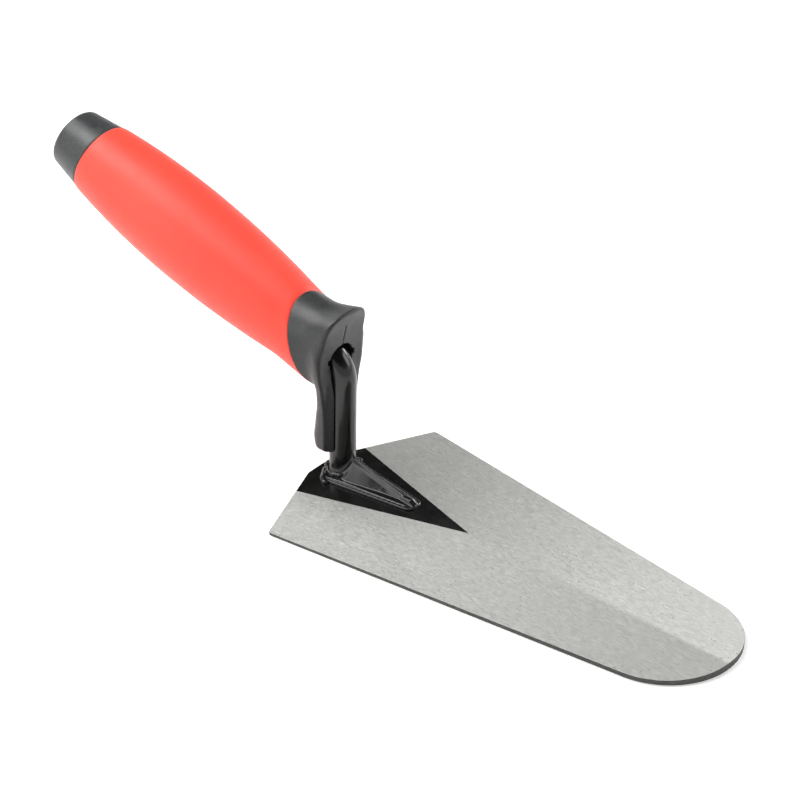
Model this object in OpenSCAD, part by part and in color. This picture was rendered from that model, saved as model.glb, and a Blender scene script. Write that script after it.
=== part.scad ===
// Round-nosed gauging trowel: ground steel blade, welded cranked shank, soft-grip handle.
// The origin is on the blade's underside, straight below the shank's upright axis.
// +X points to the nose, +Y to the user's left, +Z up out of the blade's working top.

/* [Blade] */
// Length from the heel to the nose
blade_length = 178; // [150:1:205]
// Width across the two heel corners
blade_width = 88; // [76:1:100]
// Thickness at the ground edges
edge_thickness = 1.0; // [0.8:0.1:1.4]
// Thickness along the centre ridge
ridge_thickness = 2.6; // [2.2:0.1:3.2]
// Radius of the round nose
nose_radius = 26.7; // [22:0.1:32]
// Width of the short flat in the middle of the heel
heel_flat = 16.2; // [12:0.1:24]
// How far the heel corners lie ahead of that flat
heel_setback = 14; // [8:0.5:20]
// From the heel flat to the shank's upright axis
shank_inset = 8.8; // [8:0.1:11]

/* [Shank] */
// Diameter of the round shank
shank_d = 9.4; // [8:0.1:9.8]
// Height at which the shank's and the handle's axes cross
crossing_height = 48.2; // [44:0.1:54]
// Centreline radius of the crank
crank_radius = 12; // [10:0.5:14]
// Diameter of the tang inside the handle
tang_d = 7; // [5:0.1:8]
// How far the tang runs back from the crossing
tang_reach = 92; // [60:1:110]

/* [Foot] */
// Half-width of the forged foot at its heel end
foot_half_width = 8.8; // [8:0.1:10]
// Half-width of the foot at its toe end
toe_half_width = 3.7; // [3:0.1:5]
// From the shank's axis to the tip of the foot
foot_reach = 34.6; // [30:0.1:42]
// Thickness of the foot's outer rim
foot_rim = 0.9; // [0.7:0.1:1.4]
// Width of the rib along the foot
rib_width = 3.2; // [2.4:0.1:4.4]
// Radius of the weld bead round the heel of the foot
bead_radius = 1.3; // [0.9:0.1:1.6]

/* [Handle] */
// Angle at which the handle rises towards the butt
handle_rise = 17.4; // [12:0.1:22]
// Where the grip starts, back from the crossing
grip_start = 13.5; // [13:0.1:16]
// Where the grip ends and the cap starts
grip_end = 122.2; // [112:0.1:132]
// Backward tilt of the joint between guard and grip
joint_tilt = 37; // [30:0.1:40]
// Largest radius of the grip
belly_radius = 17; // [15:0.05:19]
// Where the grip is thickest, back from the crossing
belly_at = 76; // [66:0.1:80]
// Radius of the grip at the cap
cap_radius = 13.75; // [12.5:0.05:14.5]
// Radius of the grip at the guard
collar_radius = 13.4; // [12.5:0.1:14]
// Where the grip starts to swell out of that collar, back from the crossing
collar_end = 22; // [18:0.5:28]
// Radius of the rigid core under the grip
core_radius = 10.4; // [9.6:0.1:11]

/* [Guard] */
// Half-width of the front flange
flange_half_width = 11.2; // [10.5:0.1:12.5]
// Height at which the flange is widest
flange_height = 58.1; // [56:0.1:60]
// From there up to the flange's top edge
flange_rise = 10.7; // [9:0.1:12]
// Half-width of the finger tongue at its neck
neck_half_width = 9.3; // [8:0.1:10]
// Half-width of the tongue at its foot
tongue_half_width = 8.6; // [7.5:0.1:10]
// Height of the tongue's lower end
tongue_bottom = 12.6; // [10:0.1:20]
// Radius of the tongue's lower corners
tongue_corner = 4; // [2:0.5:5]
// Gap between the shank and the channel in the tongue
channel_gap = 0.2; // [0.1:0.05:0.4]

/* [Butt cap] */
// Length of the cap
cap_length = 15.5; // [14.5:0.5:22]
// Radius of the cap just before its rounded end
cap_end_radius = 11.5; // [10.5:0.1:12.4]
// Radius of the rounded end edge
cap_edge = 3; // [1.5:0.1:3.5]

/* [Hidden] */
$fn = 96;
hull_fn = 32;
overcut = 1;

heel_x = -shank_inset;
corner_x = heel_x + heel_setback;
nose_x = heel_x + blade_length - nose_radius;
corner_distance = norm([nose_x - corner_x, blade_width / 2]);
tangent_angle = atan2(blade_width / 2, corner_x - nose_x) - acos(nose_radius / corner_distance);
tangent_x = nose_x + nose_radius * cos(tangent_angle);
tangent_y = nose_radius * sin(tangent_angle);
ridge_fall = (ridge_thickness - edge_thickness) / (blade_width / 2);

shank_r = shank_d / 2;
crank_angle = 90 - handle_rise;
crank_tangent = crank_radius * tan(crank_angle / 2);
crank_start = crossing_height - crank_tangent;
// The bar is drawn slightly thinner behind the crank, and runs on to a thinner tang.
draw_down = 0.1;
bar_reach = 27;
tang_chamfer = 2;

// Stations of the foot along X: its rounded heel, its widest place and its blunt toe.
foot_heel = -5.3;
foot_wide = -0.9;
foot_blunt = foot_reach - 1.8;
slice = 0.2;
heel_half_width = 3.2;
heel_bevel = 0.6;
toe_bevel = 0.5;
crown_half_width = 4;
toe_crown_half_width = 1.6;
heel_crown = ridge_thickness + 2.6;
toe_crown = ridge_thickness + 1.5;

// The rib's crest falls from its root to its toe, and a fillet carries it up the shank.
rib_root = 9.1;
rib_root_z = ridge_thickness + 7.7;
rib_toe = foot_reach - 2.2;
rib_toe_z = ridge_thickness + 2.6;
rib_fillet = 6.2;
rib_sink = 0.2;
rib_nose = 1.5;

grip_steps = 24;
front_curve = pow(belly_at - collar_end, 2) / (belly_radius - collar_radius);
back_curve = pow(grip_end - belly_at, 2) / (belly_radius - cap_radius);
grip_front = grip_start - core_radius - 2;
spigot_radius = 8;
spigot_reach = 6;
cap_spigot = 9;
cap_socket = 12;
socket_gap = 0.05;
joint_lift = collar_radius * tan(joint_tilt);

// The guard's front is upright below, and above this height it leans forward along an arc.
face_x = -1.1;
lean_start = 47;
lean_radius = 55;
flange_power = 2.7;
neck_height = 30;
tongue_back_r = 11;
tongue_back_x = 3.4;
tongue_top = 40;
plate_back = -4.4;
mouth_radius = 5.7;
mouth_depth = 7;
notch_half_width = 6.6;
notch_height = 2.2;
notch_lift = 0.5;

// Puts its children on the handle's axis: local +Z runs from the crossing towards the butt.
module on_handle_axis() {
    translate([0, 0, crossing_height])
        rotate([0, handle_rise - 90, 0])
            children();
}

// A flat profile drawn in (Y, Z) and drawn out along X.
module along_x(from_x, length) {
    translate([from_x, 0, 0])
        rotate([90, 0, 90])
            linear_extrude(length)
                children();
}

// A flat profile drawn in (X, Z), centred on the trowel's middle plane.
module across_y(width) {
    translate([0, width / 2, 0])
        rotate([90, 0, 0])
            linear_extrude(width)
                children();
}

// Everything under the blade's two ground top facets.
module under_facets() {
    side = blade_width / 2 + overcut;
    side_z = edge_thickness - ridge_fall * overcut;
    along_x(heel_x - overcut, blade_length + 2 * overcut)
        polygon([[-side, 0], [side, 0], [side, side_z], [0, ridge_thickness], [-side, side_z]]);
}

module blade() {
    color("silver")
        intersection() {
            under_facets();
            union() {
                linear_extrude(ridge_thickness + overcut)
                    polygon([
                        [heel_x, -heel_flat / 2],
                        [corner_x, -blade_width / 2],
                        [tangent_x, -tangent_y],
                        [tangent_x, tangent_y],
                        [corner_x, blade_width / 2],
                        [heel_x, heel_flat / 2]
                    ]);
                translate([nose_x, 0, 0])
                    cylinder(r = nose_radius, h = ridge_thickness + overcut);
            }
        }
}

// The upright, the crank and the straight run into the handle, as one round bar.
module shank_bar(radius, bottom_z, back_reach) {
    translate([0, 0, bottom_z])
        cylinder(r = radius, h = crank_start - bottom_z);
    translate([-crank_radius, 0, crank_start])
        rotate([90, 0, 0])
            rotate_extrude(angle = crank_angle)
                translate([crank_radius, 0])
                    circle(r = radius);
    on_handle_axis()
        translate([0, 0, crank_tangent - overcut])
            cylinder(r = radius - draw_down, h = back_reach - crank_tangent + overcut);
}

// One thin slice of the foot's sloping shoulders.
module shoulder_slice(x, half_width, crown_width, crown_z) {
    rim_z = ridge_thickness + foot_rim - ridge_fall * half_width;
    along_x(x, slice)
        polygon([
            [-half_width, 0],
            [half_width, 0],
            [half_width, rim_z],
            [crown_width, crown_z],
            [-crown_width, crown_z],
            [-half_width, rim_z]
        ]);
}

module foot() {
    hull() {
        shoulder_slice(foot_heel, heel_half_width, heel_half_width - heel_bevel, heel_crown - heel_bevel);
        shoulder_slice(foot_wide, foot_half_width, crown_half_width, heel_crown);
        shoulder_slice(foot_blunt, toe_half_width, toe_crown_half_width, toe_crown);
        shoulder_slice(foot_reach - slice, toe_half_width / 2, toe_crown_half_width - toe_bevel, toe_crown - toe_bevel);
    }
    across_y(rib_width)
        polygon([
            [0, 0],
            [rib_toe + rib_nose, 0],
            [rib_toe + rib_nose, rib_toe_z - 1],
            [rib_toe, rib_toe_z],
            [rib_root, rib_root_z],
            for (turn = [10 : 16 : 74])
                [shank_r - rib_sink + rib_fillet * (1 - sin(turn)),
                 rib_root_z + rib_fillet * (1 - cos(turn))],
            [0, rib_root_z + rib_fillet]
        ]);
}

module shank() {
    color("#1c1e1e")
        union() {
            difference() {
                union() {
                    foot();
                    translate([0, 0, ridge_thickness / 2])
                        cylinder(r = shank_r, h = crank_start / 2);
                }
                under_facets();
            }
            shank_bar(shank_r, ridge_thickness + overcut, bar_reach);
            on_handle_axis() {
                translate([0, 0, bar_reach - overcut])
                    cylinder(r = tang_d / 2, h = tang_reach - bar_reach + overcut - tang_chamfer);
                translate([0, 0, tang_reach - tang_chamfer])
                    cylinder(r1 = tang_d / 2, r2 = tang_d / 2 - 1, h = tang_chamfer);
            }
        }
}

// The bead follows the round heel of the foot and fills the corner against the blade.
module weld_bead() {
    heel_round = 10.7;
    half_sweep = 56;
    color("#2a2c2c")
        difference() {
            translate([heel_round + foot_heel, 0, ridge_thickness])
                rotate([0, 0, 180 - half_sweep])
                    rotate_extrude(angle = 2 * half_sweep)
                        translate([heel_round, 0])
                            circle(r = bead_radius, $fn = hull_fn);
            under_facets();
            foot();
        }
}

// Everything in front of the tilted joint between the guard and the grip.
module ahead_of_joint() {
    size = 120;
    on_handle_axis()
        translate([0, 0, grip_start])
            rotate([0, -joint_tilt, 0])
                translate([-size / 2, -size / 2, -size])
                    cube(size);
}

// A thin round plate lying in the tilted joint, round like the grip seen along its axis.
module joint_plate() {
    size = 60;
    thickness = 0.4;
    intersection() {
        on_handle_axis()
            cylinder(r = collar_radius, h = grip_start + joint_lift + 1, $fn = hull_fn);
        on_handle_axis()
            translate([0, 0, grip_start])
                rotate([0, -joint_tilt, 0])
                    translate([-size / 2, -size / 2, -thickness])
                        cube([size, size, thickness]);
    }
}

// The flange's squarish arch, drawn in (Y, Z) from its right side over to its left.
function flange_arch(half_width, rise) = [
    for (turn = [0 : 6 : 180])
        let (across = cos(turn), up = sin(turn))
            [sign(across) * half_width * pow(abs(across), 2 / flange_power),
             flange_height + rise * pow(up, 2 / flange_power)]
];

// The outline of the flange and the tongue seen from the nose.
module guard_outline() {
    low = tongue_bottom + tongue_corner;
    polygon(concat(
        flange_arch(flange_half_width, flange_rise),
        [
            [-neck_half_width, neck_height],
            [-tongue_half_width, low],
            [tongue_half_width, low],
            [neck_half_width, neck_height]
        ]
    ));
    translate([-tongue_half_width + tongue_corner, tongue_bottom])
        square([2 * (tongue_half_width - tongue_corner), tongue_corner + 1]);
    for (side = [-1, 1])
        translate([side * (tongue_half_width - tongue_corner), low])
            circle(r = tongue_corner);
}

// The space in front of the guard's front face.
module ahead_of_face() {
    width = 60;
    translate([face_x + lean_radius, 0, lean_start])
        rotate([90, 0, 0])
            cylinder(r = lean_radius, h = width, center = true, $fn = 360);
    translate([face_x, -width / 2, 0])
        cube([width / 2, width, lean_start]);
}

module finger_guard() {
    plate = 1.6;
    chin_half_width = 8.4;
    chin_height = 2;
    flange_depth = 8;
    flange_overlap = 6;
    tongue_back = -10;
    tongue_depth = 14;
    mouth_front = -4;
    clear = 60;
    color("#3c3f40")
        difference() {
            union() {
                // Body between the grip and the flange
                hull() {
                    joint_plate();
                    along_x(plate_back, plate)
                        polygon(flange_arch(flange_half_width, flange_rise));
                    translate([plate_back, -chin_half_width, tongue_top - chin_height])
                        cube([plate, 2 * chin_half_width, chin_height]);
                }
                // Flange
                intersection() {
                    along_x(plate_back, flange_depth)
                        guard_outline();
                    translate([plate_back, -clear / 2, tongue_top - flange_overlap])
                        cube([flange_depth, clear, clear]);
                }
                // Tongue
                intersection() {
                    along_x(tongue_back, tongue_depth)
                        guard_outline();
                    translate([tongue_back_x, 0, 0])
                        cylinder(r = tongue_back_r, h = tongue_top);
                }
            }
            ahead_of_face();
            shank_bar(shank_r + channel_gap, 0, bar_reach + overcut);
            // Front mouth with its two side notches
            on_handle_axis() {
                translate([0, 0, mouth_front])
                    cylinder(r = mouth_radius, h = mouth_depth - mouth_front);
                translate([notch_lift - notch_height / 2, -notch_half_width, mouth_front])
                    cube([notch_height, 2 * notch_half_width, mouth_depth - mouth_front]);
            }
            // Socket for the core's front spigot
            on_handle_axis()
                translate([0, 0, grip_start - spigot_reach])
                    cylinder(r = spigot_radius + socket_gap, h = clear);
        }
}

// The grip's radius at a distance back from the crossing.
function grip_radius(t) =
    max(collar_radius, belly_radius - pow(t - belly_at, 2) / (t < belly_at ? front_curve : back_curve));

module grip_sleeve() {
    grip_length = grip_end - grip_front;
    color("#ff5a4b")
        difference() {
            on_handle_axis()
                rotate_extrude()
                    polygon([
                        [core_radius, grip_front],
                        for (i = [0 : grip_steps])
                            let (t = grip_front + grip_length * i / grip_steps)
                                [grip_radius(t), t],
                        [core_radius, grip_end]
                    ]);
            ahead_of_joint();
        }
}

module handle_core() {
    spigot_run = 20;
    color("#2e3132")
        difference() {
            union() {
                difference() {
                    on_handle_axis()
                        translate([0, 0, grip_front])
                            cylinder(r = core_radius, h = grip_end - grip_front);
                    ahead_of_joint();
                }
                on_handle_axis() {
                    translate([0, 0, grip_start - spigot_reach])
                        cylinder(r = spigot_radius, h = spigot_reach + spigot_run);
                    translate([0, 0, grip_end - overcut])
                        cylinder(r = cap_spigot, h = cap_socket + overcut);
                }
            }
            // Blind socket that the tang is driven into
            on_handle_axis() {
                cylinder(r = shank_r + socket_gap, h = bar_reach);
                cylinder(r = tang_d / 2 + socket_gap, h = tang_reach + overcut);
            }
        }
}

module butt_cap() {
    dome = 0.5;
    straight = cap_length - cap_edge;
    color("#3c3f40")
        on_handle_axis()
            translate([0, 0, grip_end])
                difference() {
                    rotate_extrude()
                        polygon([
                            [0, 0],
                            [cap_radius, 0],
                            for (i = [0 : 4])
                                [cap_radius - (cap_radius - cap_end_radius) * i / 4,
                                 straight * i / 4],
                            for (turn = [15 : 15 : 75])
                                [cap_end_radius - cap_edge * (1 - cos(turn)),
                                 straight + (cap_edge - dome) * sin(turn)],
                            [cap_end_radius - cap_edge - overcut, cap_length - dome],
                            [(cap_end_radius - cap_edge) / 2, cap_length - dome / 4],
                            [0, cap_length]
                        ]);
                    translate([0, 0, -overcut])
                        cylinder(r = cap_spigot + socket_gap, h = cap_socket + overcut);
                }
}

blade();
shank();
weld_bead();
handle_core();
finger_guard();
grip_sleeve();
butt_cap();
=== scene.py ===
"""Round-nosed gauging trowel on a pale studio floor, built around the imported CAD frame."""

import math

import bmesh
import bpy
import numpy as np
from mathutils import Matrix, Vector


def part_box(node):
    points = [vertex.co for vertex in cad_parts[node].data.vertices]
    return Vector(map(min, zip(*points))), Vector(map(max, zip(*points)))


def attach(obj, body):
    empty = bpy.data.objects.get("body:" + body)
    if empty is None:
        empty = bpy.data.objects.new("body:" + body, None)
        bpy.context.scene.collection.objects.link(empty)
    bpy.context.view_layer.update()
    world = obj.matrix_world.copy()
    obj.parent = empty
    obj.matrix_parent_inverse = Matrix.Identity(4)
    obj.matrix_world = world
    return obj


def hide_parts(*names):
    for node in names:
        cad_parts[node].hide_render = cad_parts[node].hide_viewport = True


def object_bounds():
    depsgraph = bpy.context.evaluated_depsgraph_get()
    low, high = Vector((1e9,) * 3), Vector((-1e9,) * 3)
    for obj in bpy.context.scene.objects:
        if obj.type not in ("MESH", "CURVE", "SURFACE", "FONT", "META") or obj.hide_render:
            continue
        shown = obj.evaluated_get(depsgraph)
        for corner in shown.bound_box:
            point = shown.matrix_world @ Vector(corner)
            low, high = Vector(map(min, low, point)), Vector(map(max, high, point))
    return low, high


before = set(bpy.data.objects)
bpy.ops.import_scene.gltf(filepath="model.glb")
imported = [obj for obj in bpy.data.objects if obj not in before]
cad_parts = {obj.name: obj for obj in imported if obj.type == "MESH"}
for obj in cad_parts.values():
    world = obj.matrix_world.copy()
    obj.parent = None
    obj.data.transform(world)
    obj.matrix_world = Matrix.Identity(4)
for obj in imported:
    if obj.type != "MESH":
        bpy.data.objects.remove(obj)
cad_low, cad_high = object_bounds()

# ------------------------------------------------------------------ sizes, in millimetres
MM = 0.001
TO_MM = 1000.0

blade_low, blade_high = (corner * TO_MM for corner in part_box("blade"))
guard_low, guard_high = (corner * TO_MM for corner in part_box("finger_guard"))

HEEL_X = blade_low.x
NOSE_TIP_X = blade_high.x
HALF_WIDTH = blade_high.y
RIDGE_Z = blade_high.z
EDGE_Z = 1.0
NOSE_RADIUS = 26.7
HEEL_FLAT = 16.2
HEEL_SETBACK = 14.0
CORNER_ROUND = 1.6
HEEL_CORNER_ROUND = 3.0
EDGE_BEVEL = 0.09
RIDGE_FALL = (RIDGE_Z - EDGE_Z) / HALF_WIDTH

SHANK_R = 4.7
CRANK_R = 12.0
TANG_R = 3.5
TANG_REACH = 92.0
TANG_START = 25
RUN_END = 27
CROSSING_Z = 48.2
HANDLE_RISE = math.radians(17.4)
CRANK_TANGENT = CRANK_R * math.tan((math.pi / 2 - HANDLE_RISE) / 2)
CRANK_START = CROSSING_Z - CRANK_TANGENT

GRIP_START = 13.5
GRIP_END = 122.2
JOINT_TILT = math.radians(37.0)
BELLY_R = 17.0
BELLY_AT = 76.0
CAP_R = 13.75
COLLAR_R = 13.4
COLLAR_END = 22.0
CORE_R = 10.4
CAP_LENGTH = 15.5
CAP_END_R = 11.4
CAP_STEP_IN = 0.25
CAP_BORE_R = 9.05
AROUND = 144

FINE_STEP = 0.32
FINE_WELD_STEP = 0.26

CROSSING = np.array([0.0, 0.0, CROSSING_Z])
BACKWARD = np.array([-math.cos(HANDLE_RISE), 0.0, math.sin(HANDLE_RISE)])
UPWARD = np.array([math.sin(HANDLE_RISE), 0.0, math.cos(HANDLE_RISE)])


# ------------------------------------------------------------------ meshes
def make_piece(name, vertices, faces, node, materials, sharp_deg=35.0, shades=None):
    """A mesh piece from millimetre points, riding on the one body and standing for a CAD node."""
    mesh = bpy.data.meshes.new(name)
    mesh.from_pydata([tuple(v) for v in np.asarray(vertices, float) * MM], [], faces)
    for material in materials:
        mesh.materials.append(material)
    mesh.polygons.foreach_set("use_smooth", [True] * len(mesh.polygons))
    if shades is not None:
        mesh.polygons.foreach_set("material_index", shades)
    mesh.validate()
    work = bmesh.new()
    work.from_mesh(mesh)
    bmesh.ops.remove_doubles(work, verts=work.verts, dist=1e-7)
    bmesh.ops.recalc_face_normals(work, faces=work.faces)
    work.to_mesh(mesh)
    work.free()
    mesh.set_sharp_from_angle(angle=math.radians(sharp_deg))
    mesh.update()
    piece = bpy.data.objects.new(name, mesh)
    bpy.context.scene.collection.objects.link(piece)
    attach(piece, "root")
    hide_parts(node)
    return piece


def on_handle(t, up, side):
    """Points given along the handle's axis from the crossing, above it and to the left of it."""
    t, up, side = np.broadcast_arrays(t, up, side)
    points = CROSSING + t[..., None] * BACKWARD + up[..., None] * UPWARD
    points[..., 1] += side
    return points


def ring_faces(rings, around):
    """Quads between rings of points that follow one another, each ring closed on itself."""
    faces = []
    for i in range(rings - 1):
        here, ahead = i * around, (i + 1) * around
        for j in range(around):
            k = (j + 1) % around
            faces.append((here + j, here + k, ahead + k, ahead + j))
    return faces


# ------------------------------------------------------------------ solids from distance fields
def smooth_min(a, b, k):
    h = np.clip(0.5 + 0.5 * (b - a) / k, 0.0, 1.0)
    return b + (a - b) * h - k * h * (1.0 - h)


def smooth_max(a, b, k):
    return -smooth_min(-a, -b, k)


def smooth_step(low, high, x):
    t = np.clip((x - low) / (high - low), 0.0, 1.0)
    return t * t * (3.0 - 2.0 * t)


def to_segment(p, a, b):
    """Distance from points to the straight line between a and b."""
    a, b = np.asarray(a, float), np.asarray(b, float)
    along = np.clip((p - a) @ (b - a) / ((b - a) @ (b - a)), 0.0, 1.0)
    return np.linalg.norm(p - a - along[..., None] * (b - a), axis=-1)


NET_BLOCK = 16
NET_PULLS = 3
NET_NUDGE = 0.02


def surface_net(field, low, high, step):
    """The zero surface of a distance function as quads, with its points drawn on to the surface."""
    axes = [np.arange(low[i], high[i] + step, step) for i in range(3)]
    shape = [len(a) for a in axes]
    grid = np.empty(shape, np.float32)
    for i in range(0, shape[0], NET_BLOCK):
        block = np.stack(np.meshgrid(axes[0][i:i + NET_BLOCK], axes[1], axes[2], indexing="ij"), -1)
        grid[i:i + NET_BLOCK] = field(block)
    inside = grid < 0.0
    cells = tuple(s - 1 for s in shape)
    total = np.zeros(cells + (3,))
    count = np.zeros(cells)
    index = np.stack(np.meshgrid(*[np.arange(c) for c in cells], indexing="ij"), -1).astype(float)
    for axis in range(3):
        others = [i for i in range(3) if i != axis]
        for first in (0, 1):
            for second in (0, 1):
                start = [0, 0, 0]
                start[others[0]], start[others[1]] = first, second
                end = list(start)
                end[axis] = 1
                a = grid[tuple(slice(s, s + c) for s, c in zip(start, cells))]
                b = grid[tuple(slice(s, s + c) for s, c in zip(end, cells))]
                crosses = (a < 0) != (b < 0)
                share = np.where(crosses, a / np.where(crosses, a - b, 1.0), 0.0)
                point = index + np.array(start, float)
                point[..., axis] += share
                total += point * crosses[..., None]
                count += crosses
    active = count > 0
    number = np.full(cells, -1)
    number[active] = np.arange(active.sum())
    points = total[active] / count[active][:, None] * step + np.array([a[0] for a in axes])
    faces = []
    for axis in range(3):
        b, c = (axis + 1) % 3, (axis + 2) % 3
        near = [slice(1, s - 1) for s in shape]
        near[axis] = slice(0, shape[axis] - 1)
        far = list(near)
        far[axis] = slice(1, shape[axis])
        start_in, end_in = inside[tuple(near)], inside[tuple(far)]
        where = np.argwhere(start_in != end_in)
        leaving = start_in[tuple(where.T)]
        base = where.copy()
        base[:, b] += 1
        base[:, c] += 1
        corners = []
        for db, dc in ((-1, -1), (0, -1), (0, 0), (-1, 0)):
            at = base.copy()
            at[:, b] += db
            at[:, c] += dc
            corners.append(number[tuple(at.T)])
        quads = np.stack(corners, 1)
        quads[~leaving] = quads[~leaving][:, ::-1]
        faces.append(quads)
    for _ in range(NET_PULLS):
        distance = field(points)
        slope = np.empty_like(points)
        for axis in range(3):
            nudge = np.zeros(3)
            nudge[axis] = NET_NUDGE
            slope[:, axis] = (field(points + nudge) - field(points - nudge)) / (2 * NET_NUDGE)
        size = np.maximum((slope ** 2).sum(1), 0.05)
        move = -distance[:, None] * slope / size[:, None]
        length = np.linalg.norm(move, axis=1, keepdims=True)
        points = points + move * np.minimum(1.0, 0.5 * step / np.maximum(length, 1e-9))
    return points, np.concatenate(faces).tolist()


# ------------------------------------------------------------------ materials
# Most of a noise texture's values lie between these two.
NOISE_LOW = 0.3
NOISE_HIGH = 0.7


class Shader:
    """Builds one procedural material: nodes are added by name and linked to the main shader."""

    def __init__(self, name, **values):
        self.material = bpy.data.materials.new(name)
        self.material.use_nodes = True
        self.tree = self.material.node_tree
        self.main = self.tree.nodes["Principled BSDF"]
        self.place = self.tree.nodes.new("ShaderNodeTexCoord").outputs["Object"]
        for key, value in values.items():
            self.main.inputs[key.replace("_", " ")].default_value = value

    def link(self, a, b):
        self.tree.links.new(a, b)
        return b

    def stretched(self, scale, turn=(0, 0, 0)):
        node = self.tree.nodes.new("ShaderNodeMapping")
        node.inputs["Scale"].default_value = scale
        node.inputs["Rotation"].default_value = turn
        self.link(self.place, node.inputs["Vector"])
        return node.outputs["Vector"]

    def noise(self, scale, detail=3.0, vector=None, roughness=0.5):
        node = self.tree.nodes.new("ShaderNodeTexNoise")
        node.inputs["Scale"].default_value = scale
        node.inputs["Detail"].default_value = detail
        node.inputs["Roughness"].default_value = roughness
        self.link(vector or self.place, node.inputs["Vector"])
        return node.outputs["Fac"]

    def spots(self, scale, vector=None):
        node = self.tree.nodes.new("ShaderNodeTexVoronoi")
        node.inputs["Scale"].default_value = scale
        self.link(vector or self.place, node.inputs["Vector"])
        return node.outputs["Distance"]

    def coordinate(self, axis):
        node = self.tree.nodes.new("ShaderNodeSeparateXYZ")
        self.link(self.place, node.inputs["Vector"])
        return node.outputs[axis]

    def ramp(self, source, stops):
        node = self.tree.nodes.new("ShaderNodeValToRGB")
        elements = node.color_ramp.elements
        while len(elements) < len(stops):
            elements.new(0.5)
        for element, (place, colour) in zip(elements, stops):
            element.position = place
            if not isinstance(colour, tuple):
                colour = (colour, colour, colour)
            element.color = (*colour, 1.0)
        self.link(source, node.inputs["Fac"])
        return node.outputs["Color"]

    def fit(self, source, low, high, to_low, to_high):
        node = self.tree.nodes.new("ShaderNodeMapRange")
        values = {"From Min": low, "From Max": high, "To Min": to_low, "To Max": to_high}
        for key, value in values.items():
            node.inputs[key].default_value = value
        self.link(source, node.inputs["Value"])
        return node.outputs["Result"]

    def spread(self, noise, to_low, to_high):
        return self.fit(noise, NOISE_LOW, NOISE_HIGH, to_low, to_high)

    def shades(self, noise, dark, light):
        return self.ramp(noise, [(NOISE_LOW, dark), (NOISE_HIGH, light)])

    def mix(self, share, a, b, kind="MIX"):
        node = self.tree.nodes.new("ShaderNodeMix")
        node.data_type = "RGBA"
        node.blend_type = kind
        sockets = [s for s in node.inputs if s.enabled]
        for socket, value in zip(sockets, (share, a, b)):
            if isinstance(value, bpy.types.NodeSocket):
                self.link(value, socket)
            elif isinstance(value, tuple):
                socket.default_value = (*value, 1.0)
            else:
                socket.default_value = value
        return [s for s in node.outputs if s.enabled][0]

    def math(self, kind, a, b):
        node = self.tree.nodes.new("ShaderNodeMath")
        node.operation = kind
        for socket, value in zip(node.inputs, (a, b)):
            if isinstance(value, bpy.types.NodeSocket):
                self.link(value, socket)
            else:
                socket.default_value = value
        return node.outputs["Value"]

    def bump(self, height, strength, distance):
        node = self.tree.nodes.new("ShaderNodeBump")
        node.inputs["Strength"].default_value = strength
        node.inputs["Distance"].default_value = distance
        self.link(height, node.inputs["Height"])
        if self.main.inputs["Normal"].is_linked:
            self.link(self.main.inputs["Normal"].links[0].from_socket, node.inputs["Normal"])
        self.link(node.outputs["Normal"], self.main.inputs["Normal"])

    def colour(self, source):
        self.link(source, self.main.inputs["Base Color"])

    def rough(self, source):
        self.link(source, self.main.inputs["Roughness"])


def ground_steel():
    s = Shader("ground_steel", Metallic=1.0)
    streaks = s.noise(1.0, 4.0, s.stretched((330.0, 2300.0, 2300.0)), 0.7)
    cross = s.noise(1.0, 3.0, s.stretched((500.0, 1500.0, 1500.0), (0, 0, 0.6)), 0.65)
    clouds = s.noise(230.0, 3.0, s.stretched((0.6, 1.0, 1.0)), 0.6)
    pits = s.ramp(s.spots(520.0), [(0.0, 0.0), (0.08, 0.0), (0.15, 1.0)])
    pit_zone = s.ramp(s.noise(110.0, 2.0), [(0.0, 1.0), (0.48, 1.0), (0.56, 0.0)])
    base = s.shades(streaks, (0.57, 0.57, 0.548), (0.93, 0.93, 0.9))
    base = s.mix(s.fit(clouds, 0.35, 0.65, 0.0, 0.6), base, (0.72, 0.72, 0.695))
    # Painted light and shade: each facet's base colour is made lighter or darker along the blade to stand
    # in for how the lights fall on the two ground facets. The drift was fitted to the photograph's tones.
    along = s.coordinate("X")
    right_facet_painted_light = s.fit(along, 0.03, 0.15, 1.12, 0.85)
    left_facet_painted_light = s.fit(along, 0.02, 0.12, 0.92, 1.27)
    side = s.fit(s.coordinate("Y"), -0.0008, 0.0008, 0.0, 1.0)
    step = s.math("MULTIPLY", side, s.math("SUBTRACT", left_facet_painted_light, right_facet_painted_light))
    # The facets' painted light and shade is multiplied into the steel's colour here.
    base = s.mix(1.0, base, s.math("ADD", right_facet_painted_light, step), "MULTIPLY")
    dark = s.math("MAXIMUM", pits, pit_zone)
    s.colour(s.mix(dark, (0.3, 0.29, 0.28), base))
    s.rough(s.spread(cross, 0.4, 0.5))
    s.bump(streaks, 0.3, 0.00004)
    s.bump(cross, 0.25, 0.00004)
    s.bump(dark, 0.3, 0.00008)
    return s.material


# Steel for the blade's side faces: its near-black tone is painted shade for the thin dark line along the
# edge; the grain is real.
def edge_steel_painted_shade():
    s = Shader("edge_steel_painted_shade", Metallic=1.0)
    grain = s.noise(1.0, 3.0, s.stretched((300.0, 300.0, 3000.0)), 0.6)
    s.colour(s.shades(grain, (0.05, 0.05, 0.048), (0.12, 0.12, 0.115)))
    s.rough(s.spread(grain, 0.45, 0.6))
    s.bump(grain, 0.3, 0.00005)
    return s.material


def black_lacquer(name, ripple=0.15):
    s = Shader(name, Specular_IOR_Level=0.5)
    shade = s.noise(60.0, 3.0)
    s.colour(s.shades(shade, (0.004, 0.0045, 0.004), (0.008, 0.0085, 0.0078)))
    s.rough(s.spread(s.noise(180.0, 3.0), 0.13, 0.24))
    s.bump(s.noise(320.0, 2.0), ripple, 0.00012)
    return s.material


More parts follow.
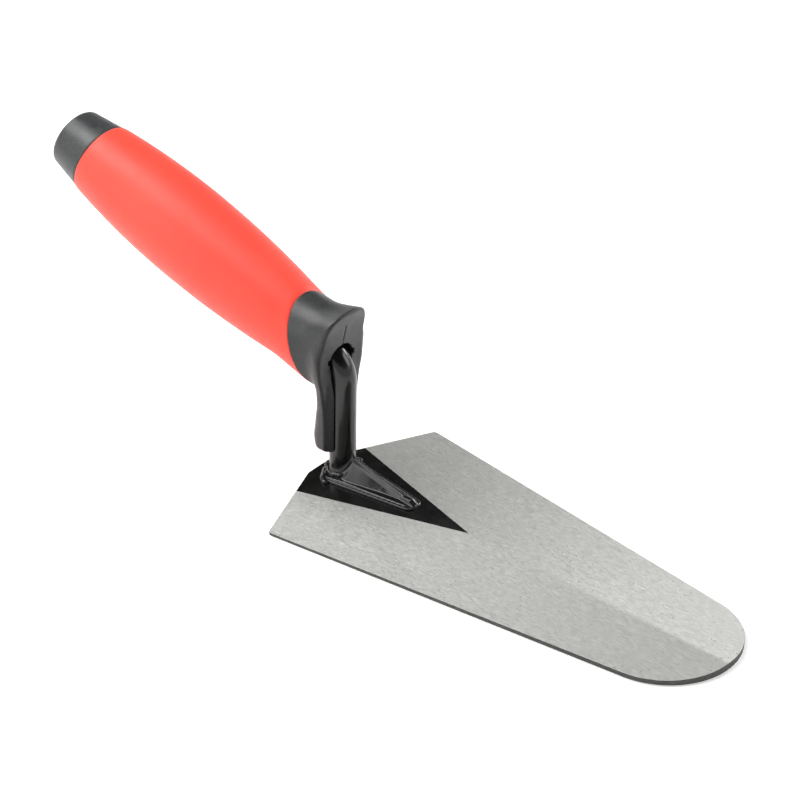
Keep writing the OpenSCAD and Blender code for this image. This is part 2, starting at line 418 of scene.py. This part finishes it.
def dark_plastic(name, light):
    s = Shader(name, Specular_IOR_Level=0.5)
    grain = s.noise(1500.0, 3.0, None, 0.6)
    cloud = s.noise(45.0, 2.0)
    dark_shade = tuple(light * c for c in (0.91, 0.96, 1.0))
    light_shade = tuple(light * 1.15 * c for c in (0.93, 0.97, 1.0))
    base = s.shades(cloud, dark_shade, light_shade)
    s.colour(s.mix(1.0, base, s.spread(grain, 0.55, 1.5), "MULTIPLY"))
    fine = s.spread(grain, -0.07, 0.07)
    broad = s.spread(s.noise(260.0, 3.0), 0.35, 0.45)
    s.rough(s.math("ADD", fine, broad))
    s.bump(grain, 0.5, 0.00009)
    return s.material


def red_rubber():
    s = Shader("red_rubber", Specular_IOR_Level=0.45)
    cloud = s.noise(24.0, 3.0)
    s.colour(s.shades(cloud, (0.86, 0.05, 0.026), (0.93, 0.064, 0.035)))
    s.rough(s.spread(s.noise(350.0, 3.0), 0.42, 0.52))
    s.bump(s.noise(1800.0, 2.0), 0.16, 0.00004)
    return s.material


STEEL = ground_steel()
EDGE_STEEL = edge_steel_painted_shade()
LACQUER = black_lacquer("black_lacquer")
HEEL_LACQUER = black_lacquer("heel_lacquer", 0.08)
WELD_LACQUER = black_lacquer("weld_lacquer", 0.5)
GUARD_PLASTIC = dark_plastic("guard_plastic", 0.018)
CAP_PLASTIC = dark_plastic("cap_plastic", 0.026)
CORE_PLASTIC = dark_plastic("core_plastic", 0.03)
RUBBER = red_rubber()


# ------------------------------------------------------------------ blade
NOSE_ARC_STEPS = 64
CUTS_Y = (-36, -24, -12, -4, -1, 0, 1, 4, 12, 24, 36)
CUT_STEP_X = 10
CUTS_X = 17
MIDDLE_X = 70.0
RIDGE_SHARP_FROM_X = 70.0
UNDER_TOP_Z = 0.15
FLAT_NORMAL_Z = 0.9

# The places of the blade's three materials in its slots
GROUND, LACQUERED, PAINTED_SHADE_EDGE = 0, 1, 2


def roof(y):
    return RIDGE_Z - RIDGE_FALL * np.abs(y)


def rounded(corner, before, after, radius, steps=5):
    """Points of a small arc that rounds the corner of an outline."""
    corner, before, after = (np.array(p, float) for p in (corner, before, after))
    u = (before - corner) / np.linalg.norm(before - corner)
    v = (after - corner) / np.linalg.norm(after - corner)
    half = math.acos(float(u @ v)) / 2
    reach = radius / math.tan(half)
    centre = corner + (u + v) / np.linalg.norm(u + v) * radius / math.sin(half)
    start, end = corner + u * reach - centre, corner + v * reach - centre
    a0, a1 = math.atan2(start[1], start[0]), math.atan2(end[1], end[0])
    turn = (a1 - a0 + math.pi) % (2 * math.pi) - math.pi
    angles = [a0 + turn * i / steps for i in range(steps + 1)]
    return [centre + radius * np.array([math.cos(a), math.sin(a)]) for a in angles]


def blade_outline(inset):
    """The blade's outline from above, counter-clockwise, drawn in by the inset."""
    corner = (HEEL_X + HEEL_SETBACK, HALF_WIDTH)
    centre_x = NOSE_TIP_X - NOSE_RADIUS
    reach = math.hypot(centre_x - corner[0], corner[1])
    tangent = math.atan2(corner[1], corner[0] - centre_x) - math.acos(NOSE_RADIUS / reach)
    touch = (centre_x + NOSE_RADIUS * math.cos(tangent), NOSE_RADIUS * math.sin(tangent))
    heel = (HEEL_X, HEEL_FLAT / 2)
    below = (HEEL_X, -HEEL_FLAT / 2)
    points = rounded(heel, corner, below, HEEL_CORNER_ROUND)
    points += rounded(below, heel, (corner[0], -corner[1]), HEEL_CORNER_ROUND)
    points += rounded((corner[0], -corner[1]), below, (touch[0], -touch[1]), CORNER_ROUND)
    arc = [-tangent + 2 * tangent * i / NOSE_ARC_STEPS for i in range(NOSE_ARC_STEPS + 1)]
    points += [np.array([centre_x + NOSE_RADIUS * math.cos(a), NOSE_RADIUS * math.sin(a)]) for a in arc]
    points += rounded(corner, touch, heel, CORNER_ROUND)
    points = np.array(points)
    ahead, behind = np.roll(points, -1, 0), np.roll(points, 1, 0)
    along = ahead - behind
    normal = np.stack([along[:, 1], -along[:, 0]], 1)
    normal /= np.linalg.norm(normal, axis=1, keepdims=True)
    return points - inset * normal


# The lacquered triangle at the heel: its two heel ends and its tip.
LACQUER_LEFT = (HEEL_X + 5.1, -19.2)
LACQUER_RIGHT = (HEEL_X + 4.8, 17.2)
LACQUER_TIP = (HEEL_X + 66.8, 0.3)


def beside(point, a, b):
    return (b[0] - a[0]) * (point[1] - a[1]) - (b[1] - a[1]) * (point[0] - a[0])


def under_lacquer(x, y):
    return beside((x, y), LACQUER_LEFT, LACQUER_TIP) > 0 > beside((x, y), LACQUER_RIGHT, LACQUER_TIP)


def build_blade():
    work = bmesh.new()
    outline = [work.verts.new((x, y, 0.0)) for x, y in blade_outline(EDGE_BEVEL)]
    work.faces.new(outline)

    def cut(point, normal):
        geometry = [*work.verts, *work.edges, *work.faces]
        plane = {"plane_co": (*point, 0), "plane_no": (*normal, 0)}
        bmesh.ops.bisect_plane(work, geom=geometry, dist=1e-4, **plane)

    for a, b in ((LACQUER_LEFT, LACQUER_TIP), (LACQUER_RIGHT, LACQUER_TIP)):
        cut(a, (a[1] - b[1], b[0] - a[0]))
    for y in CUTS_Y:
        cut((0, y), (0, 1))
    for i in range(1, CUTS_X + 1):
        cut((HEEL_X + CUT_STEP_X * i, 0), (1, 0))
    top = list(work.verts)
    faces = list(work.faces)
    for v in top:
        v.co.z = roof(v.co.y)
    low = {v: work.verts.new((v.co.x, v.co.y, 0.0)) for v in top}
    for face in faces:
        work.faces.new([low[v] for v in reversed(face.verts)])
    rim = [e for e in work.edges if e.is_boundary and e.verts[0] in low]
    upper, lower = {}, {}
    for v in {v for e in rim for v in e.verts}:
        first, second = [e.other_vert(v).co for e in v.link_edges if e.is_boundary]
        along = (second - first).normalized()
        out = Vector((along.y, -along.x, 0))
        middle = Vector((MIDDLE_X, 0.0, 0.0))
        if out.dot(v.co - middle) < 0:
            out = -out
        out.normalize()
        place = v.co + out * EDGE_BEVEL
        upper[v] = work.verts.new((place.x, place.y, v.co.z - EDGE_BEVEL))
        lower[v] = work.verts.new((place.x, place.y, EDGE_BEVEL))
    for e in rim:
        a, b = e.verts
        work.faces.new([a, b, upper[b], upper[a]])
        work.faces.new([upper[a], upper[b], lower[b], lower[a]])
        work.faces.new([lower[a], lower[b], low[b], low[a]])
    bmesh.ops.recalc_face_normals(work, faces=work.faces)
    work.verts.index_update()
    vertices = [tuple(v.co) for v in work.verts]
    quads = [[v.index for v in f.verts] for f in work.faces]
    shades = []
    for f in work.faces:
        middle = f.calc_center_median()
        if middle.z > UNDER_TOP_Z and under_lacquer(middle.x, middle.y):
            shades.append(LACQUERED)
        else:
            # Upright side faces take the near-black edge steel, painted shade along the blade's edge.
            shades.append(PAINTED_SHADE_EDGE if abs(f.normal.z) < FLAT_NORMAL_Z else GROUND)
    work.free()
    materials = [STEEL, HEEL_LACQUER, EDGE_STEEL]
    piece = make_piece("blade", vertices, quads, "blade", materials, 20.0, shades)
    mesh = piece.data
    for e in mesh.edges:
        a, b = (mesh.vertices[i].co * TO_MM for i in e.vertices)
        if abs(a.y) < 0.01 and abs(b.y) < 0.01 and min(a.x, b.x) > RIDGE_SHARP_FROM_X:
            e.use_edge_sharp = True
    return piece


# ------------------------------------------------------------------ shank with its foot
# Heights and widths of the foot, each as a list of x and a list of values
FOOT_CREST = ([-6, 5, 9, 18.3, 27.6, 29, 32, 34.8], [7.6, 8.8, 7.7, 5.1, 3.0, 2.7, 2.7, 0.9])
FOOT_FLANK = ([-6, 6, 10, 19.4, 27.4, 29, 32, 34.8], [3.0, 6.6, 5.8, 3.3, 2.1, 2.5, 2.4, 0.8])
FOOT_FOLD = ([-6, 5.8, 27, 35], [4.5, 5.6, 1.5, 1.4])
FOOT_FOLD_Z = ([-6, 4, 30, 34.8], [1.5, 1.75, 1.4, 0.8])
FOOT_HALF = 8.8
FOOT_TAPER = 0.1487
FOOT_WIDEST_X = -0.7
FOOT_HEEL_X = 5.4
FOOT_HEEL_R = 10.7
FOOT_TOE_X = 31.0
FOOT_TOE_R = 3.9
FOOT_END_X = 34.6
FOOT_BLUR = 0.22
WELL_INSIDE = -5.0


def bar_distance(p, radius):
    """The upright, the crank and the run into the handle."""
    upright = to_segment(p, (0, 0, 1.0), (0, 0, CRANK_START)) - radius
    from_centre = p - np.array([-CRANK_R, 0, CRANK_START])
    angle = np.arctan2(from_centre[..., 2], from_centre[..., 0])
    sweep = math.pi / 2 - HANDLE_RISE
    clamped = np.clip(angle, 0, sweep)
    on_line = np.stack([CRANK_R * np.cos(clamped), 0 * clamped, CRANK_R * np.sin(clamped)], -1)
    crank = np.linalg.norm(from_centre - on_line, axis=-1) - radius
    run = to_segment(p, CROSSING + CRANK_TANGENT * BACKWARD, CROSSING + RUN_END * BACKWARD) - radius
    return np.minimum(np.minimum(upright, crank), run)


def foot_top(x, y):
    """Height of the foot above the blade: rim, shoulder, flank, and the rib along the middle."""
    a = np.abs(y)
    w = foot_half_width(x)
    crest = np.interp(x, *FOOT_CREST)
    flank_top = np.interp(x, *FOOT_FLANK)
    fold = np.interp(x, *FOOT_FOLD)
    fold_z = np.interp(x, *FOOT_FOLD_Z)
    height = np.zeros_like(x)
    stops = [
        (0.0 * w, crest),
        (0.0 * w + 0.45, crest - 0.05),
        (0.0 * w + 1.15, flank_top),
        (fold, fold_z),
        (np.maximum(w - 1.25, fold + 0.1), fold_z * 0.55 + 0.35),
        (np.maximum(w - 0.95, fold + 0.2), 0.0 * w + 0.72),
        (np.maximum(w - 0.6, fold + 0.3), 0.0 * w + 0.98),
        (np.maximum(w + 0.5, fold + 0.9), 0.0 * w + 0.8),
    ]
    for (y0, h0), (y1, h1) in zip(stops, stops[1:]):
        share = np.clip((a - y0) / np.maximum(y1 - y0, 1e-6), 0, 1)
        height = np.where(a >= y0, h0 + (h1 - h0) * share, height)
    return height


def foot_half_width(x):
    return FOOT_HALF - FOOT_TAPER * (x - FOOT_WIDEST_X)


def foot_distance(p):
    x, y, z = p[..., 0], p[..., 1], p[..., 2]
    top = np.zeros_like(x)
    top += 0.4 * foot_top(x, y)
    for dx, dy in ((FOOT_BLUR, 0), (-FOOT_BLUR, 0), (0, FOOT_BLUR), (0, -FOOT_BLUR)):
        top += 0.15 * foot_top(x + dx, y + dy)
    above = (z - roof(y) - top) * 0.6
    side = (np.abs(y) - foot_half_width(x)) * 0.98
    heel = np.hypot(x - FOOT_HEEL_X, y) - FOOT_HEEL_R
    heel = np.where(x < FOOT_HEEL_X, heel, WELL_INSIDE)
    toe = smooth_max(x - FOOT_END_X, np.hypot(x - FOOT_TOE_X, y * 0.9) - FOOT_TOE_R, 0.6)
    toe = np.where(x > FOOT_TOE_X, toe, WELL_INSIDE)
    around = smooth_max(smooth_max(side, heel, 0.8), toe, 0.5)
    return smooth_max(smooth_max(above, around, 0.45), roof(y) - z, 0.02)


def shank_distance(p):
    body = bar_distance(p, SHANK_R)
    foot = foot_distance(p)
    joined = smooth_min(body, foot, 1.7)
    joined = np.maximum(joined, roof(p[..., 1]) - p[..., 2])
    tang_end = CROSSING + (TANG_REACH - TANG_R) * BACKWARD
    tang = to_segment(p, CROSSING + TANG_START * BACKWARD, tang_end) - TANG_R
    return smooth_min(joined, tang, 0.8)


def build_shank():
    low, high = (corner * TO_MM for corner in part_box("shank"))
    step = FINE_STEP
    margin = 1.3
    points, faces = surface_net(shank_distance, np.array(low) - margin, np.array(high) + margin, step)
    return make_piece("shank", points, faces, "shank", [LACQUER], 50.0)


# ------------------------------------------------------------------ weld
WELD_SEED = 7
WELD_HEEL_R = 10.75
HEEL_LUMPS = 34
UPRIGHT_LUMPS = 40
WELD_LOW = (-7.6, -10.6, 1.6)
WELD_HIGH = (7.2, 10.6, 6.6)


def build_weld():
    """A lumpy bead round the heel of the foot, with spatter at the foot of the upright."""
    rng = np.random.RandomState(WELD_SEED)
    lumps = []
    for i in range(HEEL_LUMPS):
        turn = math.radians(180 - 60 + 120 * i / (HEEL_LUMPS - 1))
        size = 0.95 + 0.3 * rng.rand()
        radius = WELD_HEEL_R + 0.25 * (rng.rand() - 0.5)
        x, y = FOOT_HEEL_X + radius * math.cos(turn), radius * math.sin(turn)
        lumps.append((x, y, float(roof(y)) + 0.25 + 0.2 * rng.rand(), size))
    for i in range(UPRIGHT_LUMPS):
        turn = math.radians(95 + 225 * i / (UPRIGHT_LUMPS - 1))
        radius = SHANK_R + 0.3 + 0.7 * rng.rand()
        size = 0.55 + 0.5 * rng.rand()
        x, y = radius * math.cos(turn), radius * math.sin(turn)
        height = float(foot_top(np.array(x), np.array(y)))
        lumps.append((x, y, float(roof(y)) + min(height, 2.2) + 0.2 * rng.rand(), size))

    def distance(p):
        total = np.full(p.shape[:-1], 9.0)
        for x, y, z, size in lumps:
            ball = np.linalg.norm((p - np.array([x, y, z])) * np.array([1, 1, 1.15]), axis=-1) - size
            total = smooth_min(total, ball, 0.5)
        return np.maximum(total, roof(p[..., 1]) - p[..., 2])

    step = FINE_WELD_STEP
    points, faces = surface_net(distance, np.array(WELD_LOW), np.array(WELD_HIGH), step)
    return make_piece("weld_bead", points, faces, "weld_bead", [WELD_LACQUER], 60.0)


# ------------------------------------------------------------------ finger guard
FACE_X = -1.1
LEAN_START_Z = 47.0
LEAN_CURVE = 0.009
FLANGE_Z = 58.1
FLANGE_HALF = 11.2
FLANGE_RISE = 10.7
TONGUE_END_Z = 12.7
TONGUE_TOP_Z = 56.0
CHIN_DROP = 20.0
LIP_RISE = 1.8
MOUTH_R = 5.7
MOUTH_DEPTH = 7.0
CHANNEL_ROOM = 0.25
SEAM_HALF = 0.16
SEAM_DEPTH = 0.3

# The tongue's half-width, depth and flat front, each as a list of z and a list of values
TONGUE_HALF = ([13, 18, 24, 30, 38, 44, 50, 58], [8.3, 8.5, 8.6, 8.9, 9.9, 10.5, 10.9, 10.9])
TONGUE_DEPTH = ([13, 14, 16, 19, 26, 33, 38, 46, 58], [5.2, 6.4, 7.6, 8.0, 7.0, 5.7, 5.4, 4.8, 3.0])
TONGUE_FLAT = ([14, 18, 24, 32, 40, 60], [2.6, 2.6, 2.0, 1.3, 1.4, 1.6])


def face_x(z):
    """The guard's front face: upright below, leaning gently forward above."""
    return FACE_X + LEAN_CURVE * np.maximum(z - LEAN_START_Z, 0.0) ** 2


def channel_lip(y, z):
    """How far the face swells forward beside the shank's channel."""
    below = 1.0 - smooth_step(34.0, 47.0, z)
    beside_shank = 1.0 - smooth_step(SHANK_R - 0.5, 8.4, np.abs(y))
    return LIP_RISE * below * beside_shank


def round_max(a, b, r):
    """Intersection with a rounded edge of the given radius."""
    return np.minimum(np.maximum(a, b), -r) + np.hypot(np.maximum(a + r, 0.0), np.maximum(b + r, 0.0))


def oval(power, *terms):
    """A distance-like value for a superellipse, from pairs of an offset and its half-size."""
    total = sum((np.maximum(np.abs(offset) / size, 1e-9)) ** power for offset, size in terms)
    return (total ** (1.0 / power) - 1.0) * min_size(*[size for _, size in terms])


def min_size(*sizes):
    least = sizes[0]
    for size in sizes[1:]:
        least = np.minimum(least, size)
    return least


def guard_distance(p):
    x, y, z = p[..., 0], p[..., 1], p[..., 2]
    local = p - CROSSING
    t = local @ BACKWARD
    up = local @ UPWARD
    ahead = x - face_x(z) - channel_lip(y, z)
    behind_joint = (t - GRIP_START - up * math.tan(JOINT_TILT)) * math.cos(JOINT_TILT)
    rim = 0.8 + 0.7 * smooth_step(44.0, 54.0, z)

    # Tongue: a D-shaped bar, flat in front, with a rounded lower end
    half = np.interp(z, *TONGUE_HALF)
    depth = np.interp(z, *TONGUE_DEPTH)
    flat = np.interp(z, *TONGUE_FLAT)
    behind = np.maximum(face_x(z) - flat - x, 0.0)
    bar = oval(2.4, (y, half), (behind, depth - flat))
    bar = round_max(bar, TONGUE_END_Z - z, 2.2)
    bar = smooth_max(bar, z - TONGUE_TOP_Z, 4.0)

    # Body: from the round collar at the tilted joint to the flange
    room = np.maximum(-behind_joint - ahead, 1e-3)
    share = np.clip(-behind_joint / room, 0.0, 1.0)
    hollow = np.sin(math.pi * share)
    joint_half = COLLAR_R / math.cos(JOINT_TILT) * math.cos(JOINT_TILT - HANDLE_RISE)
    joint_z = CROSSING_Z + GRIP_START * math.sin(HANDLE_RISE)
    middle = joint_z + (FLANGE_Z - joint_z) * share
    wide = COLLAR_R + (FLANGE_HALF - COLLAR_R) * share - 0.5 * hollow
    rise = joint_half + (FLANGE_RISE - joint_half) * share - 1.3 * hollow
    drop = joint_half + (CHIN_DROP - joint_half) * share
    tall = np.where(z > middle, rise, drop)
    body = oval(2.0 + 0.7 * smooth_step(0.3, 1.0, share), (y, wide), (z - middle, tall))
    solid = smooth_min(np.maximum(body, behind_joint), bar, 3.0)
    sleeve = np.maximum(-behind_joint, np.hypot(up, y) - COLLAR_R - 0.05)
    solid = round_max(solid, ahead, rim)

    # Mouth with two side notches, and the channel for the shank
    mouth = np.maximum(np.hypot(up, y) - MOUTH_R, t - MOUTH_DEPTH)
    notch = np.maximum(np.maximum(np.abs(up - 0.5) - 1.1, np.abs(y) - 6.6), t - MOUTH_DEPTH)
    channel = bar_distance(p, SHANK_R + CHANNEL_ROOM)
    trench = np.maximum(np.maximum(np.abs(y) - SHANK_R - CHANNEL_ROOM, -x), z - CRANK_START - 6.0)
    solid = smooth_max(solid, -np.minimum(channel, trench), 0.6)
    solid = smooth_max(solid, -np.minimum(mouth, notch), 0.3)
    seam = np.maximum(np.maximum(np.abs(y - 0.2) - SEAM_HALF, -ahead - SEAM_DEPTH), np.abs(z - 58.0) - 5.0)
    solid = np.maximum(solid, -seam)
    return np.maximum(solid, -sleeve)


def build_guard():
    step = FINE_STEP
    margin = 1.5
    low = np.array(guard_low) - margin
    high = np.array(guard_high) + margin
    points, faces = surface_net(guard_distance, low, high, step)
    return make_piece("finger_guard", points, faces, "finger_guard", [GUARD_PLASTIC], 40.0)


# ------------------------------------------------------------------ grip and cap
def grip_radius(t):
    front_curve = (BELLY_AT - COLLAR_END) ** 2 / (BELLY_R - COLLAR_R)
    back_curve = (GRIP_END - BELLY_AT) ** 2 / (BELLY_R - CAP_R)
    curve = np.where(t < BELLY_AT, front_curve, back_curve)
    belly = BELLY_R - (t - BELLY_AT) ** 2 / curve
    return smooth_max(belly, np.full_like(belly, COLLAR_R), 0.5)


def build_grip():
    """The sleeve starts on the tilted joint, so each line along it has its own start."""
    turn = np.arange(AROUND) * 2 * math.pi / AROUND
    rounding = 0.5
    rings = []
    for share in np.concatenate([[0.0], np.linspace(0.012, 0.99, 70), [1.0]]):
        start = GRIP_START + COLLAR_R * np.cos(turn) * math.tan(JOINT_TILT)
        t = start + (GRIP_END - start) * share
        radius = grip_radius(t)
        rings.append(on_handle(t, radius * np.cos(turn), radius * np.sin(turn)))
    inner_r = CORE_R + 0.02
    start_out = GRIP_START + (COLLAR_R - rounding) * np.cos(turn) * math.tan(JOINT_TILT)
    start_in = GRIP_START + inner_r * np.cos(turn) * math.tan(JOINT_TILT)
    lip = [
        on_handle(start_in, inner_r * np.cos(turn), inner_r * np.sin(turn)),
        on_handle(start_out, (COLLAR_R - rounding) * np.cos(turn), (COLLAR_R - rounding) * np.sin(turn)),
    ]
    for angle in (30, 60):
        a = math.radians(angle)
        r = COLLAR_R - rounding * (1 - math.sin(a))
        drop = rounding * (1 - math.cos(a)) * 0.6
        lip.append(on_handle(GRIP_START + r * np.cos(turn) * math.tan(JOINT_TILT) + drop * a,
                             r * np.cos(turn), r * np.sin(turn)))
    rings[0] = on_handle(GRIP_START + COLLAR_R * np.cos(turn) * math.tan(JOINT_TILT) + rounding * 0.7,
                         COLLAR_R * np.cos(turn), COLLAR_R * np.sin(turn))
    rear = []
    for angle in (30, 60, 90):
        a = math.radians(angle)
        r = CAP_R - rounding * (1 - math.cos(a))
        rear.append(on_handle(GRIP_END - rounding * (1 - math.sin(a)), r * np.cos(turn), r * np.sin(turn)))
    rings[-1] = on_handle(GRIP_END - rounding, CAP_R * np.cos(turn), CAP_R * np.sin(turn))
    rear.append(on_handle(GRIP_END, inner_r * np.cos(turn), inner_r * np.sin(turn)))
    rings = lip + rings + rear
    faces = ring_faces(len(rings) + 1, AROUND)
    total = len(rings) * AROUND
    faces = [tuple(i % total for i in f) for f in faces]
    points = np.concatenate(rings)
    return make_piece("grip_sleeve", points, faces, "grip_sleeve", [RUBBER], 45.0)


def build_cap():
    """The cap's profile turned about the handle's axis, with a point to close each end."""
    turn = np.arange(AROUND) * 2 * math.pi / AROUND
    edge, dome = 3.0, 0.5
    bevel = 0.35
    front_r = CAP_R - CAP_STEP_IN
    profile = [(CAP_BORE_R, 0.0), (front_r - bevel, 0.0), (front_r - 0.1, 0.1), (front_r, bevel)]
    straight = CAP_LENGTH - edge
    for i in range(1, 9):
        s = straight * i / 8
        profile.append((front_r + (CAP_END_R - CAP_R + CAP_STEP_IN) * (i / 8), s))
    for angle in range(15, 91, 15):
        a = math.radians(angle)
        profile.append((CAP_END_R - edge * (1 - math.cos(a)), straight + (edge - dome) * math.sin(a)))
    for share in (0.7, 0.4, 0.15):
        profile.append(((CAP_END_R - edge) * share, CAP_LENGTH - dome * share ** 2))
    rings = [on_handle(GRIP_END + s, r * np.cos(turn), r * np.sin(turn)) for r, s in profile]
    faces = ring_faces(len(rings), AROUND)
    end_point = on_handle(np.array([GRIP_END + CAP_LENGTH]), 0.0, 0.0)
    start_point = on_handle(np.array([GRIP_END]), 0.0, 0.0)
    points = np.concatenate(rings + [end_point, start_point])
    end, start = len(points) - 2, len(points) - 1
    last = (len(rings) - 1) * AROUND
    for j in range(AROUND):
        k = (j + 1) % AROUND
        faces.append((last + j, last + k, end))
        faces.append((k, j, start))
    return make_piece("butt_cap", points, faces, "butt_cap", [CAP_PLASTIC], 40.0)


build_blade()
build_shank()
build_weld()
build_guard()
sleeve = build_grip()
# The photograph's steel shows no red, so mirror-like reflections leave the sleeve out.
sleeve.visible_glossy = False
build_cap()
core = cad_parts["handle_core"]
core.material_slots[0].material = CORE_PLASTIC


# ------------------------------------------------------------------ camera
AZIMUTH = math.radians(40.67)
ELEVATION = math.radians(31.86)
ROLL = math.radians(1.04)
CAMERA_DISTANCE = 1.2438
FOCAL_MM = 158.4
SENSOR_MM = 36.0
AIM_FROM_CENTRE = Vector((-0.0143, 0.0262, -0.0281))


def make_camera():
    aim = (cad_low + cad_high) / 2 + AIM_FROM_CENTRE
    back = Vector((math.sin(AZIMUTH) * math.cos(ELEVATION),
                   -math.cos(AZIMUTH) * math.cos(ELEVATION),
                   math.sin(ELEVATION)))
    data = bpy.data.cameras.new("camera")
    data.sensor_width = SENSOR_MM
    data.lens = FOCAL_MM
    data.clip_start, data.clip_end = 0.05, 50.0
    camera = bpy.data.objects.new("camera", data)
    bpy.context.scene.collection.objects.link(camera)
    turn = (-back).to_track_quat("-Z", "Y").to_matrix().to_4x4()
    place = Matrix.Translation(aim + back * CAMERA_DISTANCE)
    camera.matrix_world = place @ turn @ Matrix.Rotation(ROLL, 4, "Z")
    bpy.context.scene.camera = camera


# ------------------------------------------------------------------ studio
FLOOR_REACH = 6.0
FLOOR_DROP = 0.0003
FLOOR_GLOW = 0.3
WALL_TOP = (0.2, 0.34)
WALL_STRENGTH = 0.85
CEILING_STRENGTH = 0.03

# Name, place, target, width, height and power of each light. Their powers were fitted to the
# photograph's tones.
LIGHTS = [
    ("top", (-0.4, -0.4, 1.2), (0, 0, 0.03), 0.8, 0.8, 8.5),
    ("left", (-0.6, -1.0, 0.55), (-0.05, 0, 0.03), 0.8, 0.7, 4.8),
    ("far", (-0.2, 0.9, 1.1), (0.05, 0, 0.03), 1.0, 0.6, 1.3),
    ("far_low", (0.2, 1.3, 0.5), (0.1, 0, 0.03), 0.6, 0.4, 6.6),
    ("overhead", (0.0, 0.1, 1.35), (0, 0, 0.03), 0.8, 0.8, 3.6),
    ("back_low", (-1.2, 0.5, 0.55), (0, 0, 0.03), 0.6, 0.5, 2.0),
    ("back", (-0.9, -0.2, 0.95), (0, 0, 0.03), 0.7, 0.7, 10.0),
    ("right_far", (0.9, 0.8, 0.6), (0, 0, 0.03), 0.6, 0.6, 4.8),
]


def area_light(name, place, target, width, height, power):
    data = bpy.data.lights.new(name, "AREA")
    data.shape = "RECTANGLE"
    data.size, data.size_y = width, height
    data.energy = power
    light = bpy.data.objects.new(name, data)
    light.location = place
    light.rotation_euler = (Vector(target) - Vector(place)).to_track_quat("-Z", "Y").to_euler()
    bpy.context.scene.collection.objects.link(light)


def make_studio():
    floor_mesh = bpy.data.meshes.new("floor")
    signs = ((-1, -1), (1, -1), (1, 1), (-1, 1))
    corners = [(x * FLOOR_REACH, y * FLOOR_REACH, 0) for x, y in signs]
    floor_mesh.from_pydata(corners, [], [(0, 1, 2, 3)])
    floor = bpy.data.objects.new("floor", floor_mesh)
    bpy.context.scene.collection.objects.link(floor)
    pale = Shader("pale_floor", Base_Color=(0.9, 0.9, 0.9, 1.0), Roughness=0.8, Specular_IOR_Level=0.1,
                  Emission_Color=(1.0, 1.0, 1.0, 1.0), Emission_Strength=FLOOR_GLOW)
    floor_mesh.materials.append(pale.material)
    floor.location.z = -FLOOR_DROP
    world = bpy.data.worlds.new("studio")
    world.use_nodes = True
    # The surround is pale up to a little above the floor, and dark overhead.
    tree = world.node_tree
    backdrop = tree.nodes["Background"]
    split = tree.nodes.new("ShaderNodeSeparateXYZ")
    height = tree.nodes.new("ShaderNodeMapRange")
    height.inputs["From Min"].default_value = WALL_TOP[0]
    height.inputs["From Max"].default_value = WALL_TOP[1]
    height.inputs["To Min"].default_value = WALL_STRENGTH
    height.inputs["To Max"].default_value = CEILING_STRENGTH
    tree.links.new(tree.nodes.new("ShaderNodeTexCoord").outputs["Generated"], split.inputs["Vector"])
    tree.links.new(split.outputs["Z"], height.inputs["Value"])
    tree.links.new(height.outputs["Result"], backdrop.inputs["Strength"])
    backdrop.inputs["Color"].default_value = (1, 1, 1, 1)
    bpy.context.scene.world = world
    for light in LIGHTS:
        area_light(*light)
    bpy.context.scene.view_settings.view_transform = "Standard"


make_camera()
make_studio()
